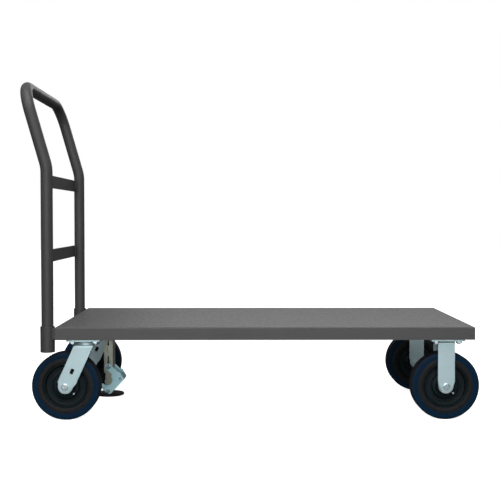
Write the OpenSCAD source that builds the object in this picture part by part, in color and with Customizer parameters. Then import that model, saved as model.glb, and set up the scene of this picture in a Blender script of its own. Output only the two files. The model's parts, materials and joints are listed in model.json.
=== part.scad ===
// Steel platform truck: a flanged deck with a lift-out tube handle, two swivel
// casters under the handle end, two rigid casters and a pedal floor lock.
// X runs along the deck away from the handle, Y across it and Z up.
// The floor is z = 0, and the origin is under the middle of the overall length.
// "Right" is -Y and "left" is +Y, as the person pushing the handle sees them.

/* [Deck] */
// Length of the deck
deck_l = 1219.2; // [900:0.1:1830]
// Width of the deck
deck_w = 609.6; // [500:0.1:915]
// Height of the turned-down flange on all four sides
flange_h = 38; // [30:0.5:60]
// Thickness of the deck sheet
sheet_t = 3; // [2:0.1:5]
// Outside radius of the flange bend
bend_r = 5; // [3.5:0.1:10]
// Width of each bolster channel that the casters bolt to
bolster_w = 140; // [130:1:150]
// Width of each stringer channel
stringer_w = 42; // [30:1:80]
// Depth of each stringer channel
stringer_h = 25; // [15:0.5:28]
// Distance of each stringer from the middle of the deck
stringer_y = 150; // [120:1:170]

/* [Handle] */
// Outside diameter of the handle tube
tube_d = 34.9; // [28:0.1:40]
// Wall of the handle tube
tube_wall = 2.5; // [1.5:0.1:4]
// Height of the bend in the legs above the deck
leg_h = 463; // [460:1:700]
// Backward lean of the handle above the bend, in degrees
handle_lean = 16; // [5:0.5:25]
// Length of the leaning part, from the bend to the middle of the top rail
lean_l = 246.6; // [160:0.1:400]
// Centre-line radius of the bend in each leg
leg_bend_r = 115; // [80:1:140]
// Centre-line radius of the two top corners
corner_r = 80; // [60:1:140]
// Height of each flat crossbar
crossbar_h = 38; // [20:1:60]
// Thickness of each flat crossbar
crossbar_t = 5; // [3:0.5:8]
// Height of the lower crossbar's middle above the deck
lower_bar_z = 201; // [120:1:300]
// Height of the upper crossbar's middle above the deck
upper_bar_z = 425.5; // [380:0.5:430]
// Outside diameter of the handle sockets
socket_d = 42.2; // [40:0.1:52]
// Length of the handle sockets
socket_l = 75; // [50:1:90]
// Thickness of the lip that closes the foot of each socket
socket_lip_t = 3; // [2:0.5:6]
// Thickness of the strap between each socket and the deck flange
strap_t = 3; // [2:0.1:6]

/* [Casters] */
// Distance of the kingpins from the handle end of the deck
swivel_inset = 82.6; // [76:0.1:140]
// Distance of the rigid axles from the other end of the deck
rigid_inset = 78.1; // [76:0.1:200]
// Distance of the wheel centres from the sides of the deck
caster_inset = 60.8; // [60:0.1:90]
// Height from the top of the wheel to the caster's mounting face
head_h = 40; // [33:0.5:60]
// Size of the mounting plates along the deck
plate_x = 101.6; // [96:0.1:105]
// Size of the mounting plates across the deck
plate_y = 114.3; // [110:0.1:116]
// Thickness of the mounting plates
plate_t = 5; // [4:0.1:7]
// Spacing of the mounting bolts along the deck
bolt_x = 66.7; // [64:0.1:72]
// Spacing of the mounting bolts across the deck
bolt_y = 92.1; // [88:0.1:94]
// Trail of the swivel wheels behind the kingpin
swivel_lead = 58; // [40:0.5:70]
// Thickness of the fork legs
leg_t = 5; // [3:0.1:8]
// Width of the swivel fork legs
swivel_leg_w = 51; // [44:0.5:56]
// Width of the rigid fork legs
rigid_leg_w = 49.3; // [44:0.1:60]
// Radius of the rounded foot of every fork leg
leg_end_r = 18.5; // [14:0.1:20]
// Radius of the kingpin
kingpin_r = 7; // [5:0.1:9]
// Number of balls in each swivel race
ball_count = 16; // [8:1:20]
// Radius of each ball
ball_r = 3.5; // [2.5:0.1:4]
// Radius of the circle that the balls run on
ball_pitch_r = 33; // [28:0.5:34]

/* [Wheels] */
// Diameter over the tread
wheel_d = 200; // [160:1:250]
// Width of the tread
tread_w = 50; // [40:0.5:56]
// Thickness of the tread
tread_t = 19; // [10:0.5:25]
// Radius of the rounded tread shoulders
shoulder_r = 8; // [3:0.5:9]
// Length of the hub
hub_l = 58; // [57:0.1:70]
// Radius of the hub boss
hub_r = 35; // [26:0.5:42]
// Radius of the hub bore
hub_bore_r = 15; // [13:0.1:18]
// Outside radius of the spanner bushing
bushing_r = 10; // [8:0.1:11]
// Radius of the axle bolt
axle_r = 6; // [5:0.1:7]
// Thickness of each thrust washer
washer_t = 1.5; // [1:0.1:3]
// Radius of each thrust washer
washer_r = 22; // [16:0.5:28]

/* [Floor lock] */
// Distance of the lock's ram from the handle end of the deck
lock_inset = 117.6; // [115:0.1:120]
// Gap under the foot pad when the lock is up
foot_gap = 27; // [15:0.5:27]
// Radius of the rubber foot pad
pad_r = 46; // [38:0.5:50]
// Thickness of the rubber foot pad
pad_t = 7; // [5:0.5:10]
// Size of the ram along the deck
ram_x = 20; // [16:0.5:22]
// Size of the ram across the deck
ram_y = 53; // [46:0.5:54]
// Wall of the frame around the ram
frame_wall = 3.5; // [2.5:0.1:5]
// Sideways reach of the knee pivot from the ram's middle
knee_reach = 38; // [34:0.5:42]
// Height between the lock's upper and lower pivots when it is up
pivot_gap = 76.5; // [74:0.5:84]
// Thickness of the pedal cheeks and the links
lever_t = 3; // [2:0.1:3.4]

/* [Fits] */
// Radial clearance of pins and axles that turn
running_clear = 0.05; // [0.02:0.01:0.1]
// Clearance beside parts that slide
slide_clear = 0.3; // [0.2:0.05:0.6]
// Clearance between parts that turn face to face
face_clear = 0.2; // [0.1:0.05:0.5]

/* [Hidden] */
$fn = 64;

paint = [0.25, 0.25, 0.25];
zinc = [0.62, 0.70, 0.73];
tread_blue = [0.02, 0.16, 0.28];
core_black = [0.08, 0.09, 0.10];
rubber_black = [0.05, 0.05, 0.05];
overlap = 1;

// Heights
axle_z = wheel_d / 2;
caster_h = wheel_d + head_h;
deck_z = caster_h + flange_h;
plate_z = caster_h - plate_t;
race_h = 7;
crown_t = 6;
crown_z = plate_z - race_h;

// Places along and across the deck, from the deck's middle
swivel_x = -deck_l / 2 + swivel_inset;
rigid_x = deck_l / 2 - rigid_inset;
caster_y = deck_w / 2 - caster_inset;
lock_x = -deck_l / 2 + lock_inset;
tube_r = tube_d / 2;
// The bends are this much thicker than the straight runs, which lap into them
bend_swell = 0.02;
tube_lap = 1;
leg_x = -deck_l / 2 - strap_t - socket_d / 2;
leg_y = deck_w / 2 - socket_d / 2;
rail_x = leg_x - lean_l * sin(handle_lean);
rail_z = deck_z + leg_h + lean_l * cos(handle_lean);

// The origin is under the middle of the overall length
x_min = min(rail_x - tube_r - bend_swell, swivel_x - swivel_lead - wheel_d / 2);
x_max = max(deck_l / 2, rigid_x + wheel_d / 2);
centre_x = (x_min + x_max) / 2;

// Sockets
socket_bore_r = tube_r + slide_clear;
socket_drain_r = 10;
strap_w = 25;

// Ball race between the plate and the fork's crown, and the kingpin through it
race_land = 2.5;
race_in_r = ball_pitch_r - ball_r - race_land;
crown_r = ball_pitch_r + ball_r + race_land;
upper_ring_r = crown_r + 1.5;
lower_ring_r = crown_r - 1;
groove_r = ball_r + running_clear;
ball_z = crown_z + 2.5;
ring_gap = 1.4;
lower_ring_top = ball_z - ring_gap / 2;
upper_ring_bottom = ball_z + ring_gap / 2;
kingpin_head_r = 12;
kingpin_head_t = 3.5;
kingpin_foot_t = 6;
kingpin_foot_r = 9;
plate_corner_r = 8;

// Forks: each leg narrows to its round foot below these heights above the axle
fork_gap = hub_l + 2 * washer_t + 2 * face_clear;
fork_half = fork_gap / 2 + leg_t;
rake = atan(swivel_lead / (crown_z - axle_z));
swivel_bend_r = 13;
rigid_bend_r = 10;
swivel_back_start = 5;
swivel_front_start = 20;
rigid_start = 13;
slot_w = 10;
slot_l = 16;
slot_up = 49.6;
// The leg's edges run into its round foot this far inside the rim
foot_inner_r = leg_end_r - 0.1;

// Wheel core: rim, then a step down to a dish, a thin web, a ledge and the hub
core_r = wheel_d / 2 - tread_t;
rim_half = tread_w / 2 - 0.5;
rim_in_r = core_r - 13;
bead_w = 4;
dish_r = rim_in_r - 6;
dish_half = 16;
bead_half = 18;
web_half = 8;
ledge_r = hub_r + 2;
hub_out_r = hub_r - 9;
hub_foot_r = hub_r - 7;
fillet_w = 3;

// Grease fitting, on the ledge beside the hub
fitting_r = hub_r - 2.5;
fitting_turn = 45;
fitting_hex_r = 3.2;
fitting_hex_t = 4.5;
fitting_neck_r = 1.8;
fitting_neck_t = 2.5;
fitting_head_r = 2.2;
fitting_head_t = 2;

// Hexagon fasteners
hex_chamfer_t = 1.5;
hex_chamfer_in = 0.6;
axle_hex_af = 18;
axle_hex_t = 7.5;
axle_end_l = 3;
bolt_r = 5;
bolt_hex_af = 16;
bolt_hex_t = 6.5;
bolt_end_l = 2.5;
hole_clear = 0.3;

// Floor lock: the upper pivot is on the frame, the lower one on the ram
disc_t = 3;
disc_r = 29;
pad_edge_r = 3;
lower_pin_up = 8;
lower_pin_z = foot_gap + pad_t + disc_t + lower_pin_up;
upper_pin_z = lower_pin_z + pivot_gap;
knee_up = pivot_gap / 2;
knee_z = lower_pin_z + knee_up;
cavity_x = ram_x + 2 * slide_clear;
cavity_y = ram_y + 2 * slide_clear;
frame_x = cavity_x + 2 * frame_wall;
frame_y = cavity_y + 2 * frame_wall;
frame_bottom = upper_pin_z - 19.5;
ram_bottom = foot_gap + pad_t + disc_t;
spring_l = 46;
ram_top = plate_z - spring_l;
lever_gap = 0.5;
link_y = frame_y / 2 + lever_gap;
cheek_y = link_y + lever_t + lever_gap;
upper_pin_r = 5;
lower_pin_r = 4;
knee_rivet_r = 4;
pin_head_rim = 2.5;
pin_head_t = 4;
rivet_head_t = 1.5;
// The closed linkage is opened here: the link swings freely round the rivet
knee_clear = 3.1;
link_r = knee_rivet_r + knee_clear + 2.4;
lock_bolt_x = 40;
lock_bolt_y = 84;
lock_plate_x = 70;
lock_plate_y = 106;
slot_gap = 5;
slot_eye_r = 4.5;
slot_eye_z = upper_pin_z + 12;
slot_top = plate_z - 10;
// Where the pedal's web starts and ends, along the cheeks' straight edge
web_from = 16;
web_to = 46;
// The notch in the pedal's cheek, which clears the upper pin when the pedal is down
notch_r = 17;
notch_place = [-3.8, 35];

// Return spring
spring_r = 8;
spring_wire_r = 1;
spring_turns = 6;
spring_sides = 8;
spring_rings = 72;

RIGHT = -1;
LEFT = 1;

// ---------- Helpers ----------

// Moves children from the deck's middle to the frame of the whole object
module in_frame() {
    translate([-centre_x, 0, 0]) children();
}

// Moves children to a swivel caster's kingpin, or a rigid caster's middle, on the floor
module at_swivel(side) {
    in_frame() translate([swivel_x, side * caster_y, 0]) children();
}

module at_rigid(side) {
    in_frame() translate([rigid_x, side * caster_y, 0]) children();
}

// Moves children to a wheel's middle, with the axle along Y
module at_swivel_wheel(side) {
    at_swivel(side) translate([-swivel_lead, 0, axle_z]) children();
}

module at_rigid_wheel(side) {
    at_rigid(side) translate([0, 0, axle_z]) children();
}

module at_lock(z) {
    in_frame() translate([lock_x, 0, z]) children();
}

// A cylinder along Y from y0 to y1
module rod_y(r, y0, y1) {
    translate([0, y0, 0]) rotate([-90, 0, 0]) cylinder(r = r, h = y1 - y0);
}

// A ring along Y from y0 to y1
module ring_y(r_out, r_in, y0, y1) {
    difference() {
        rod_y(r_out, y0, y1);
        rod_y(r_in, y0 - overlap, y1 + overlap);
    }
}

// A drawing in the XZ plane, made thick from y0 to y1
module slab_y(y0, y1) {
    translate([0, y1, 0]) rotate([90, 0, 0]) linear_extrude(y1 - y0) children();
}

// A drawing in the YZ plane, made thick along X, centred
module slab_x(thick) {
    rotate([90, 0, 90]) translate([0, 0, -thick / 2]) linear_extrude(thick) children();
}

// A rectangle of width w that stands on y = 0, with its two top corners rounded
module round_top(w, h, r) {
    translate([-w / 2, 0]) square([w, h - r]);
    translate([-w / 2 + r, 0]) square([w - 2 * r, h]);
    for (side = [-1, 1]) translate([side * (w / 2 - r), h - r]) circle(r);
}

// A centred rectangle with four rounded corners
module round_rect(w, h, r) {
    square([w - 2 * r, h], center = true);
    square([w, h - 2 * r], center = true);
    for (x = [-1, 1], y = [-1, 1]) {
        translate([x * (w / 2 - r), y * (h / 2 - r)]) circle(r);
    }
}

// A hexagon prism along Z, its end corners turned to a cone
module hex_prism(af, h, bore_r = 0) {
    corner_r = af / 2 / cos(30);
    difference() {
        intersection() {
            cylinder(r = corner_r, h = h, $fn = 6);
            union() {
                cylinder(r = corner_r + overlap, h = h - hex_chamfer_t);
                translate([0, 0, h - hex_chamfer_t])
                    cylinder(r1 = corner_r, r2 = af / 2 - hex_chamfer_in, h = hex_chamfer_t);
            }
        }
        if (bore_r > 0) {
            translate([0, 0, -overlap]) cylinder(r = bore_r, h = h + 2 * overlap);
        }
    }
}

// ---------- Deck ----------

// A flanged tray: rounded along all four top edges, open below
module tray(l, w, h, r) {
    intersection() {
        slab_y(-w / 2, w / 2) round_top(l, h, r);
        slab_x(l) round_top(w, h, r);
    }
}

module deck_pan() {
    inner_l = deck_l - 2 * sheet_t;
    inner_w = deck_w - 2 * sheet_t;
    color(paint) in_frame() translate([0, 0, caster_h]) difference() {
        tray(deck_l, deck_w, flange_h, bend_r);
        translate([0, 0, -overlap])
            tray(inner_l, inner_w, flange_h - sheet_t + overlap, bend_r - sheet_t);
    }
}

// A channel with its web down, its walls welded to the deck sheet
module channel(w, l, h) {
    difference() {
        translate([-w / 2, -l / 2, 0]) cube([w, l, h]);
        translate([-w / 2 + sheet_t, -l / 2 - overlap, sheet_t])
            cube([w - 2 * sheet_t, l + 2 * overlap, h]);
    }
}

module plate_holes(z0, z1) {
    for (x = [-1, 1], y = [-1, 1]) {
        translate([x * bolt_x / 2, y * bolt_y / 2, z0])
            cylinder(r = bolt_r + hole_clear, h = z1 - z0);
    }
}

// The lock's four bolts stand closer than the casters'
module lock_plate_places() {
    for (x = [-1, 1], y = [-1, 1]) {
        translate([x * lock_bolt_x / 2, y * lock_bolt_y / 2, 0]) children();
    }
}

// The bolster's ends stop short of the bends of the deck's flanges
module bolster(x) {
    channel_l = deck_w - 2 * bend_r;
    z0 = caster_h - overlap;
    z1 = caster_h + sheet_t + overlap;
    difference() {
        translate([x, 0, caster_h]) channel(bolster_w, channel_l, flange_h - sheet_t);
        for (side = [RIGHT, LEFT]) translate([x, side * caster_y, 0]) plate_holes(z0, z1);
        if (x < 0) {
            translate([lock_x, 0, z0]) lock_plate_places()
                cylinder(r = bolt_r + hole_clear, h = z1 - z0);
        }
    }
}

module rear_bolster() {
    color(paint) in_frame() bolster(swivel_x);
}

module front_bolster() {
    color(paint) in_frame() bolster(rigid_x);
}

module deck_stringers() {
    x0 = swivel_x + bolster_w / 2;
    x1 = rigid_x - bolster_w / 2;
    color(paint) in_frame() for (side = [RIGHT, LEFT]) {
        translate([(x0 + x1) / 2, side * stringer_y, deck_z - sheet_t - stringer_h])
            rotate([0, 0, 90]) channel(stringer_w, x1 - x0, stringer_h);
    }
}

// ---------- Handle ----------

module tube_ring(r_out, r_in) {
    difference() {
        circle(r_out);
        circle(r_in);
    }
}

module handle_socket(side) {
    color(paint) in_frame() translate([leg_x, side * leg_y, deck_z - socket_l]) difference() {
        union() {
            cylinder(d = socket_d, h = socket_l);
            // The strap stands between the socket and the flange
            translate([0, -strap_w / 2, socket_l - flange_h])
                cube([socket_d / 2 + strap_t, strap_w, flange_h - bend_r]);
        }
        translate([0, 0, socket_lip_t]) cylinder(r = socket_bore_r, h = socket_l);
        translate([0, 0, -overlap]) cylinder(r = socket_drain_r, h = socket_l);
    }
}

// A run of tube along Z
module tube_run(length) {
    linear_extrude(length) tube_ring(tube_r, tube_r - tube_wall);
}

// A bend that starts along Z and turns towards +X by the angle, about Y. Its wall is
// a hair thicker than the runs', so that the ends of the runs lap into it cleanly.
module tube_bend(radius, angle) {
    translate([radius, 0, 0]) rotate([90, 0, 0]) rotate([0, 0, 180 - angle])
        rotate_extrude(angle = angle) translate([radius, 0])
            tube_ring(tube_r + bend_swell, tube_r - tube_wall - bend_swell);
}

// One leg, from its foot to the end of its top corner
module handle_leg(side) {
    foot_z = deck_z - socket_l + socket_lip_t;
    bend_run = leg_bend_r * tan(handle_lean / 2);
    bend_z = deck_z + leg_h - bend_run;
    straight_l = lean_l - bend_run - corner_r;
    translate([leg_x, side * leg_y, foot_z]) tube_run(bend_z - foot_z + tube_lap);
    translate([leg_x, side * leg_y, bend_z]) mirror([1, 0, 0])
        tube_bend(leg_bend_r, handle_lean);
    translate([leg_x, side * leg_y, deck_z + leg_h]) rotate([0, -handle_lean, 0]) {
        translate([0, 0, bend_run - tube_lap]) tube_run(straight_l + 2 * tube_lap);
        translate([0, 0, lean_l - corner_r]) rotate([0, 0, -90 * side]) tube_bend(corner_r, 90);
    }
}

module handle_tube() {
    rail_l = 2 * (leg_y - corner_r + tube_lap);
    color(paint) in_frame() {
        handle_leg(RIGHT);
        handle_leg(LEFT);
        translate([leg_x, 0, deck_z + leg_h]) rotate([0, -handle_lean, 0])
            translate([0, rail_l / 2, lean_l]) rotate([90, 0, 0]) rotate([0, 0, 90])
                tube_run(rail_l);
    }
}

// A flat bar flush with the back of the legs, its ends coped round the tubes
module crossbar(bar_z) {
    color(paint) in_frame() difference() {
        translate([leg_x - tube_r, -leg_y, deck_z + bar_z - crossbar_h / 2])
            cube([crossbar_t, 2 * leg_y, crossbar_h]);
        for (side = [RIGHT, LEFT]) {
            translate([leg_x, side * leg_y, deck_z + bar_z - crossbar_h / 2 - overlap])
                cylinder(r = tube_r, h = crossbar_h + 2 * overlap);
            // Trims the tip that would stand outside the leg
            translate([leg_x - 2 * tube_r, side > 0 ? leg_y : -leg_y - tube_d,
                       deck_z + bar_z - crossbar_h / 2 - overlap])
                cube([2 * tube_d, tube_d, crossbar_h + 2 * overlap]);
        }
    }
}

module upper_crossbar() {
    crossbar(upper_bar_z);
}

module lower_crossbar() {
    crossbar(lower_bar_z);
}

// ---------- Swivel casters ----------

module ball_groove() {
    translate([0, 0, ball_z]) rotate_extrude() translate([ball_pitch_r, 0]) circle(groove_r);
}

module mounting_plate() {
    difference() {
        translate([0, 0, plate_z]) linear_extrude(plate_t)
            round_rect(plate_x, plate_y, plate_corner_r);
        plate_holes(plate_z - overlap, caster_h + overlap);
    }
}

module swivel_plate(side) {
    color(zinc) at_swivel(side) difference() {
        union() {
            mounting_plate();
            translate([0, 0, upper_ring_bottom])
                cylinder(r = upper_ring_r, h = plate_z - upper_ring_bottom);
        }
        translate([0, 0, upper_ring_bottom - overlap])
            cylinder(r = race_in_r, h = plate_z - upper_ring_bottom + overlap);
        ball_groove();
        cylinder(r = kingpin_r, h = caster_h + overlap);
        translate([0, 0, caster_h - kingpin_head_t])
            cylinder(r = kingpin_head_r, h = kingpin_head_t + overlap);
    }
}

module kingpin() {
    foot_top = crown_z - crown_t - face_clear;
    translate([0, 0, foot_top]) cylinder(r = kingpin_r, h = caster_h - foot_top);
    translate([0, 0, caster_h - kingpin_head_t])
        cylinder(r = kingpin_head_r, h = kingpin_head_t);
    translate([0, 0, foot_top - kingpin_foot_t / 2])
        cylinder(r = kingpin_head_r, h = kingpin_foot_t / 2);
    translate([0, 0, foot_top - kingpin_foot_t])
        cylinder(r1 = kingpin_foot_r, r2 = kingpin_head_r, h = kingpin_foot_t / 2);
}

module kingpins() {
    color(zinc) for (side = [RIGHT, LEFT]) at_swivel(side) kingpin();
}

module swivel_balls(side) {
    color(zinc) at_swivel(side) for (i = [0 : ball_count - 1]) {
        rotate([0, 0, i * 360 / ball_count]) translate([ball_pitch_r, 0, ball_z])
            sphere(r = ball_r);
    }
}

// Where a line from p runs into the leg's round foot
function touch_point(p, turn) =
    let (reach = norm(p), angle = atan2(p[1], p[0]) + turn * acos(foot_inner_r / reach))
    [foot_inner_r * cos(angle), foot_inner_r * sin(angle)];

// A leg in its own XY plane: the axle at the origin, the leg along +Y
module leg_outline(w, length, back_start, front_start) {
    back = [-w / 2, back_start];
    front = [w / 2, front_start];
    circle(leg_end_r);
    polygon([
        [-w / 2, length], back, touch_point(back, 1), [0, 0],
        touch_point(front, -1), front, [w / 2, length]
    ]);
}

// The folded strip that makes both legs and the crown, seen along the deck
module fork_section(top_z, top_t, outer_r) {
    inner_r = outer_r - leg_t;
    difference() {
        round_top(2 * fork_half, top_z, outer_r);
        translate([0, -overlap]) round_top(fork_gap, top_z - top_t + overlap, inner_r);
    }
}

module swivel_fork(side) {
    leg_l = (crown_z - axle_z) / cos(rake) + swivel_leg_w;
    color(zinc) at_swivel(side) difference() {
        union() {
            intersection() {
                slab_x(4 * swivel_leg_w + 4 * swivel_lead)
                    fork_section(crown_z, crown_t, swivel_bend_r);
                translate([-swivel_lead, 0, axle_z]) slab_y(-fork_half, fork_half)
                    rotate(-rake) leg_outline(swivel_leg_w, leg_l, swivel_back_start,
                                              swivel_front_start);
                // Keeps the leaning legs below the top of the crown
                translate([-4 * swivel_lead, -deck_w, 0])
                    cube([8 * swivel_lead, 2 * deck_w, crown_z]);
            }
            translate([0, 0, crown_z - crown_t]) cylinder(r = crown_r, h = crown_t);
            translate([0, 0, crown_z - overlap])
                cylinder(r = lower_ring_r, h = lower_ring_top - crown_z + overlap);
        }
        translate([0, 0, crown_z]) cylinder(r = race_in_r, h = race_h);
        ball_groove();
        cylinder(r = kingpin_r + running_clear, h = caster_h);
        translate([-swivel_lead, 0, axle_z]) {
            rod_y(axle_r + running_clear, -deck_w, deck_w);
            rotate([0, rake, 0]) translate([-slot_w / 2, -deck_w, slot_up - slot_l / 2])
                cube([slot_w, 2 * deck_w, slot_l]);
        }
    }
}

// ---------- Rigid casters ----------

module rigid_plate(side) {
    color(zinc) at_rigid(side) mounting_plate();
}

module rigid_fork(side) {
    leg_l = plate_z - axle_z;
    color(zinc) at_rigid(side) difference() {
        intersection() {
            slab_x(2 * rigid_leg_w) fork_section(plate_z, leg_t, rigid_bend_r);
            translate([0, 0, axle_z]) slab_y(-fork_half, fork_half)
                leg_outline(rigid_leg_w, leg_l, rigid_start, rigid_start);
        }
        translate([0, 0, axle_z]) rod_y(axle_r + running_clear, -deck_w, deck_w);
    }
}

// ---------- Axles ----------

// The head is on the outer side of the fork, the nut on the inner side
module axle_bolt(side) {
    shank_l = 2 * fork_half + axle_hex_t + axle_end_l;
    rotate([side > 0 ? -90 : 90, 0, 0]) {
        translate([0, 0, fork_half]) hex_prism(axle_hex_af, axle_hex_t);
        translate([0, 0, fork_half - shank_l]) cylinder(r = axle_r, h = shank_l);
    }
}

module axle_nut(side) {
    rotate([side > 0 ? 90 : -90, 0, 0]) translate([0, 0, fork_half])
        hex_prism(axle_hex_af, axle_hex_t, axle_r);
}

module bushing() {
    ring_y(bushing_r, axle_r + running_clear, -fork_gap / 2, fork_gap / 2);
}

module thrust_washers() {
    bore_r = bushing_r + running_clear;
    ring_y(washer_r, bore_r, fork_gap / 2 - washer_t, fork_gap / 2);
    ring_y(washer_r, bore_r, -fork_gap / 2, -fork_gap / 2 + washer_t);
}

module swivel_axle_bolt(side) {
    color(zinc) at_swivel_wheel(side) axle_bolt(side);
}

module swivel_axle_nut(side) {
    color(zinc) at_swivel_wheel(side) axle_nut(side);
}

module swivel_bushing(side) {
    color(zinc) at_swivel_wheel(side) bushing();
}

module swivel_washers(side) {
    color(zinc) at_swivel_wheel(side) thrust_washers();
}

module rigid_axle_bolts() {
    color(zinc) for (side = [RIGHT, LEFT]) at_rigid_wheel(side) axle_bolt(side);
}

module rigid_axle_nuts() {
    color(zinc) for (side = [RIGHT, LEFT]) at_rigid_wheel(side) axle_nut(side);
}

module rigid_bushings() {
    color(zinc) for (side = [RIGHT, LEFT]) at_rigid_wheel(side) bushing();
}

module rigid_washers() {
    color(zinc) for (side = [RIGHT, LEFT]) at_rigid_wheel(side) thrust_washers();
}

// ---------- Wheels ----------

// The tread's section: the radius across, the width up
module tread_section() {
    r_out = wheel_d / 2;
    translate([core_r, -tread_w / 2]) square([tread_t - shoulder_r, tread_w]);
    translate([core_r, -tread_w / 2 + shoulder_r])
        square([tread_t, tread_w - 2 * shoulder_r]);
    for (end = [-1, 1]) {
        translate([r_out - shoulder_r, end * (tread_w / 2 - shoulder_r)]) circle(shoulder_r);
    }
}

module tread() {
    color(tread_blue) rotate([90, 0, 0]) rotate_extrude() tread_section();
}

// One side of the core's section, from the bore out to the rim, then back
function core_side() = [
    [hub_bore_r, hub_l / 2], [hub_out_r, hub_l / 2], [hub_foot_r, dish_half],
    [ledge_r, dish_half], [ledge_r + fillet_w, web_half], [dish_r - fillet_w, web_half],
    [dish_r, bead_half], [rim_in_r - bead_w, bead_half], [rim_in_r - bead_w, dish_half],
    [rim_in_r, dish_half], [rim_in_r, rim_half], [core_r, rim_half]
];

module core() {
    side = core_side();
    count = len(side);
    other = [for (i = [count - 1 : -1 : 0]) [side[i][0], -side[i][1]]];
    color(core_black) rotate([90, 0, 0]) rotate_extrude() polygon(concat(side, other));
}

module bearing() {
    color(zinc) ring_y(hub_bore_r, bushing_r + running_clear, -hub_l / 2, hub_l / 2);
}

// A small grease nipple that stands on the ledge beside the hub
module grease_fitting(side) {
    outward = side > 0 ? -90 : 90;
    color(zinc) rotate([0, fitting_turn, 0]) translate([fitting_r, 0, 0])
        rotate([outward, 0, 0]) translate([0, 0, dish_half]) {
            cylinder(r = fitting_hex_r, h = fitting_hex_t, $fn = 6);
            translate([0, 0, fitting_hex_t]) cylinder(r = fitting_neck_r, h = fitting_neck_t);
            translate([0, 0, fitting_hex_t + fitting_neck_t])
                cylinder(r = fitting_head_r, h = fitting_head_t);
        }
}

// ---------- Mounting fasteners ----------

module each_mounting_bolt() {
    for (side = [RIGHT, LEFT], x = [-1, 1], y = [-1, 1]) {
        at_swivel(side) translate([x * bolt_x / 2, y * bolt_y / 2, 0]) children();
        at_rigid(side) translate([x * bolt_x / 2, y * bolt_y / 2, 0]) children();
    }
    at_lock(0) lock_plate_places() children();
}

module mounting_bolts() {
    shank_bottom = plate_z - bolt_hex_t - bolt_end_l;
    bolster_top = caster_h + sheet_t;
    color(zinc) each_mounting_bolt() {
        translate([0, 0, shank_bottom]) cylinder(r = bolt_r, h = bolster_top - shank_bottom);
        translate([0, 0, bolster_top]) hex_prism(bolt_hex_af, bolt_hex_t);
    }
}

module mounting_nuts() {
    color(zinc) each_mounting_bolt() translate([0, 0, plate_z]) mirror([0, 0, 1])
        hex_prism(bolt_hex_af, bolt_hex_t, bolt_r);
}

// ---------- Floor lock ----------

module lock_frame() {
    color(zinc) at_lock(0) difference() {
        union() {
            translate([0, 0, plate_z]) linear_extrude(plate_t)
                round_rect(lock_plate_x, lock_plate_y, plate_corner_r);
            translate([-frame_x / 2, -frame_y / 2, frame_bottom])
                cube([frame_x, frame_y, plate_z - frame_bottom]);
        }
        translate([-cavity_x / 2, -cavity_y / 2, frame_bottom - overlap])
            cube([cavity_x, cavity_y, plate_z - frame_bottom + overlap]);
        translate([-slot_gap / 2, -frame_y, slot_eye_z])
            cube([slot_gap, 2 * frame_y, slot_top - slot_eye_z]);
        translate([0, 0, slot_eye_z]) rod_y(slot_eye_r, -frame_y, frame_y);
        translate([0, 0, upper_pin_z]) rod_y(upper_pin_r, -frame_y, frame_y);
        translate([0, 0, plate_z - overlap]) lock_plate_places()
            cylinder(r = bolt_r + hole_clear, h = plate_t + 2 * overlap);
    }
}

// A pin along Y of radius r, with a bevelled head at y0 on each side
module headed_pin(r, y0) {
    rod_y(r, -y0, y0);
    for (side = [-1, 1]) mirror([0, side > 0 ? 1 : 0, 0]) translate([0, -y0, 0])
        rotate([90, 0, 0]) {
            cylinder(r = r + pin_head_rim, h = pin_head_t / 2);
            translate([0, 0, pin_head_t / 2])
                cylinder(r1 = r + pin_head_rim, r2 = r, h = pin_head_t / 2);
        }
}

module lock_upper_pin() {
    color(zinc) at_lock(upper_pin_z) headed_pin(upper_pin_r, link_y + lever_t + face_clear);
}

module lock_lower_pin() {
    color(zinc) at_lock(lower_pin_z) headed_pin(lower_pin_r, cheek_y + lever_t + face_clear);
}

module lock_knee_rivets() {
    outer_y = cheek_y + lever_t;
    color(zinc) at_lock(knee_z) translate([knee_reach, 0, 0]) for (side = [-1, 1]) {
        mirror([0, side > 0 ? 1 : 0, 0]) {
            rod_y(knee_rivet_r, -outer_y, -link_y);
            translate([0, -outer_y, 0]) rotate([90, 0, 0])
                cylinder(r1 = knee_rivet_r + rivet_head_t, r2 = knee_rivet_r, h = rivet_head_t);
        }
    }
}

module lock_ram() {
    slot_half = upper_pin_r + slide_clear;
    color(zinc) at_lock(0) difference() {
        translate([-ram_x / 2, -ram_y / 2, ram_bottom])
            cube([ram_x, ram_y, ram_top - ram_bottom]);
        // The upper pin stands in this slot while the ram slides down
        translate([-slot_half, -ram_y, upper_pin_z])
            cube([2 * slot_half, 2 * ram_y, foot_gap]);
        translate([0, 0, upper_pin_z]) rod_y(slot_half, -ram_y, ram_y);
        translate([0, 0, upper_pin_z + foot_gap]) rod_y(slot_half, -ram_y, ram_y);
        translate([0, 0, lower_pin_z]) rod_y(lower_pin_r, -ram_y, ram_y);
    }
}

module lock_foot_disc() {
    color(zinc) at_lock(foot_gap + pad_t) cylinder(r = disc_r, h = disc_t);
}

module lock_foot_pad() {
    flat_r = pad_r - pad_edge_r;
    color(rubber_black) at_lock(foot_gap) rotate_extrude() {
        square([flat_r, pad_t]);
        translate([0, pad_edge_r]) square([pad_r, pad_t - 2 * pad_edge_r]);
        for (z = [pad_edge_r, pad_t - pad_edge_r]) translate([flat_r, z]) circle(pad_edge_r);
    }
}

// The edge that the foot presses, from its upper to its lower end
function foot_edge() = [
    [knee_reach + 4, knee_up + 12], [knee_reach + 6.5, knee_up + 7.5],
    [knee_reach + 11.5, knee_up], [knee_reach + 10.5, knee_up - 4.5]
];

// The cheek's corner below the lower pivot
function heel() = [7.5, -9];

// The run of the cheek's straight edge, from the foot edge to the heel
function heel_run() = let (run = heel() - foot_edge()[3]) run / norm(run);

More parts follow.
